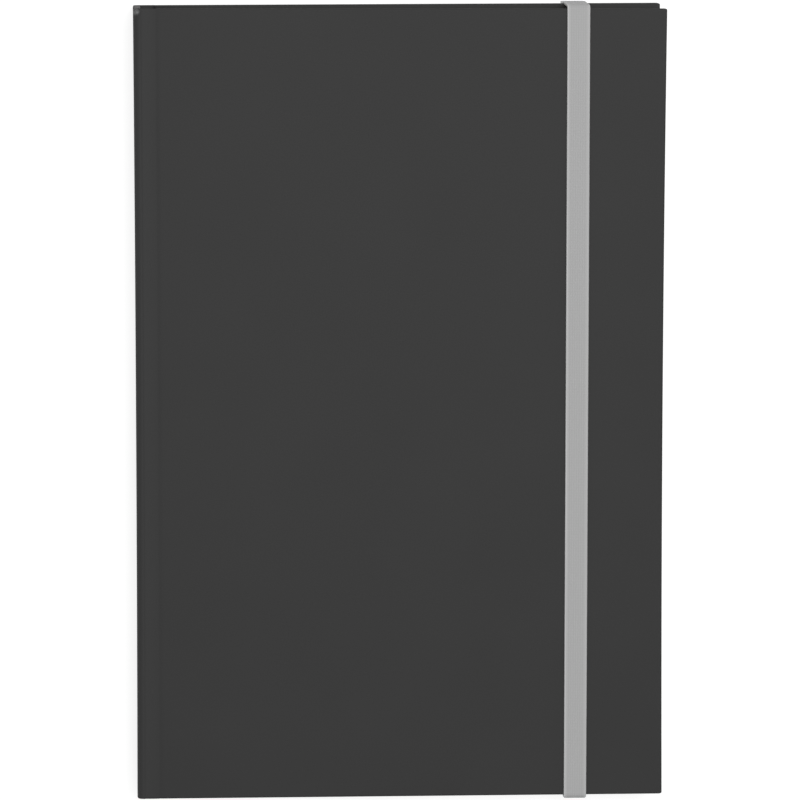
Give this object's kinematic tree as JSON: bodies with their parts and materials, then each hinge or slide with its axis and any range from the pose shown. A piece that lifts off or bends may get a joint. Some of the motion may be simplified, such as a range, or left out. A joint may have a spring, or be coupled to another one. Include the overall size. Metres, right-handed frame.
{
  "type": "pocket notebook",
  "caption": "Hard-covered pocket notebook with rounded spine edges, sewn sections of ruled leaves and a flat elastic band that keeps it closed.",
  "frame": {"origin": "under the middle of the closed notebook, at the level of the elastic's two short runs on the back cover", "axes": "+X from the spine to the fore-edge, +Y from tail to head, +Z from the back cover to the front cover"},
  "size_m": [0.095, 0.1438, 0.0154],
  "materials": {
    "cover": "matte soft-touch covering, charcoal",
    "board": "grey board",
    "endpaper": "smooth heavy paper, ivory",
    "pages": "uncoated paper, ivory, ruled",
    "lining": "open weave cloth",
    "thread": "waxed thread",
    "endband": "woven bead, light grey",
    "elastic": "flat woven elastic, light grey"
  },
  "bodies": {
    "back_cover": {"back_board": "board", "back_cover_wrap": "cover", "back_pastedown": "endpaper", "back_flyleaf": "endpaper", "section_7": "pages", "section_8": "pages", "band_end_head": "elastic", "band_end_tail": "elastic"},
    "middle_sections": {"section_5": "pages", "section_6": "pages", "spine_lining": "lining", "sewing_thread": "thread", "headband": "endband", "tailband": "endband"},
    "front_half": {"section_3": "pages", "section_4": "pages"},
    "front_sections": {"section_1": "pages", "section_2": "pages", "front_flyleaf": "endpaper"},
    "spine": {"spine_board": "board", "spine_wrap": "cover", "back_joint_roll": "cover", "front_joint_roll": "cover"},
    "front_cover": {"front_board": "board", "front_cover_wrap": "cover", "front_pastedown": "endpaper"},
    "band": {"elastic_band": "elastic"},
    "leaf_1": {"turning_leaf_1": "pages"},
    "leaf_2": {"turning_leaf_2": "pages"},
    "leaf_3": {"turning_leaf_3": "pages"},
    "leaf_4": {"turning_leaf_4": "pages"}
  },
  "joints": [
    {"name": "block_slip", "type": "slide", "parent": "back_cover", "child": "middle_sections", "axis": [-1, 0, 0], "range_m": [0, 0.005]},
    {"name": "open_flat", "type": "hinge", "parent": "middle_sections", "child": "front_half", "pos_m": [-0.04595, 0, 0.00765], "axis": [0, -1, 0], "range_deg": [0, 180], "deforming": ["spine_lining", "sewing_thread", "headband", "tailband"]},
    {"name": "front_block_slip", "type": "slide", "parent": "front_half", "child": "front_sections", "axis": [1, 0, 0], "range_m": [0, 0.007]},
    {"name": "spine_hinge", "type": "hinge", "parent": "back_cover", "child": "spine", "pos_m": [-0.0463, 0, 0.00175], "axis": [0, -1, 0], "range_deg": [0, 90], "deforming": ["back_joint_roll"]},
    {"name": "front_cover_hinge", "type": "hinge", "parent": "spine", "child": "front_cover", "pos_m": [-0.0463, 0, 0.01355], "axis": [0, -1, 0], "range_deg": [0, 90], "deforming": ["front_joint_roll"]},
    {"name": "band_swing", "type": "hinge", "parent": "back_cover", "child": "band", "pos_m": [0.0318, 0, 0.0077], "axis": [0, 1, 0], "range_deg": [0, 180], "deforming": ["elastic_band"]},
    {"name": "leaf_1_turn", "type": "hinge", "parent": "front_half", "child": "leaf_1", "pos_m": [-0.04595, 0, 0.00765], "axis": [0, -1, 0], "range_deg": [-6, 0]},
    {"name": "leaf_2_turn", "type": "hinge", "parent": "front_half", "child": "leaf_2", "pos_m": [-0.04595, 0, 0.00765], "axis": [0, -1, 0], "range_deg": [-18, 0]},
    {"name": "leaf_3_turn", "type": "hinge", "parent": "middle_sections", "child": "leaf_3", "pos_m": [-0.04595, 0, 0.00765], "axis": [0, -1, 0], "range_deg": [0, 27]},
    {"name": "leaf_4_turn", "type": "hinge", "parent": "middle_sections", "child": "leaf_4", "pos_m": [-0.04595, 0, 0.00765], "axis": [0, -1, 0], "range_deg": [0, 9]}
  ],
  "couplings": [
    {"joint": "block_slip", "follows": "open_flat", "m_per_rad": 0.0015915},
    {"joint": "front_block_slip", "follows": "open_flat", "m_per_rad": 0.0022282},
    {"joint": "spine_hinge", "follows": "open_flat", "ratio": 0.5},
    {"joint": "front_cover_hinge", "follows": "open_flat", "ratio": 0.5},
    {"joint": "band_swing", "follows": "open_flat", "ratio": 1},
    {"joint": "leaf_1_turn", "follows": "open_flat", "ratio": -0.033333},
    {"joint": "leaf_2_turn", "follows": "open_flat", "ratio": -0.1},
    {"joint": "leaf_3_turn", "follows": "open_flat", "ratio": 0.15},
    {"joint": "leaf_4_turn", "follows": "open_flat", "ratio": 0.05}
  ]
}
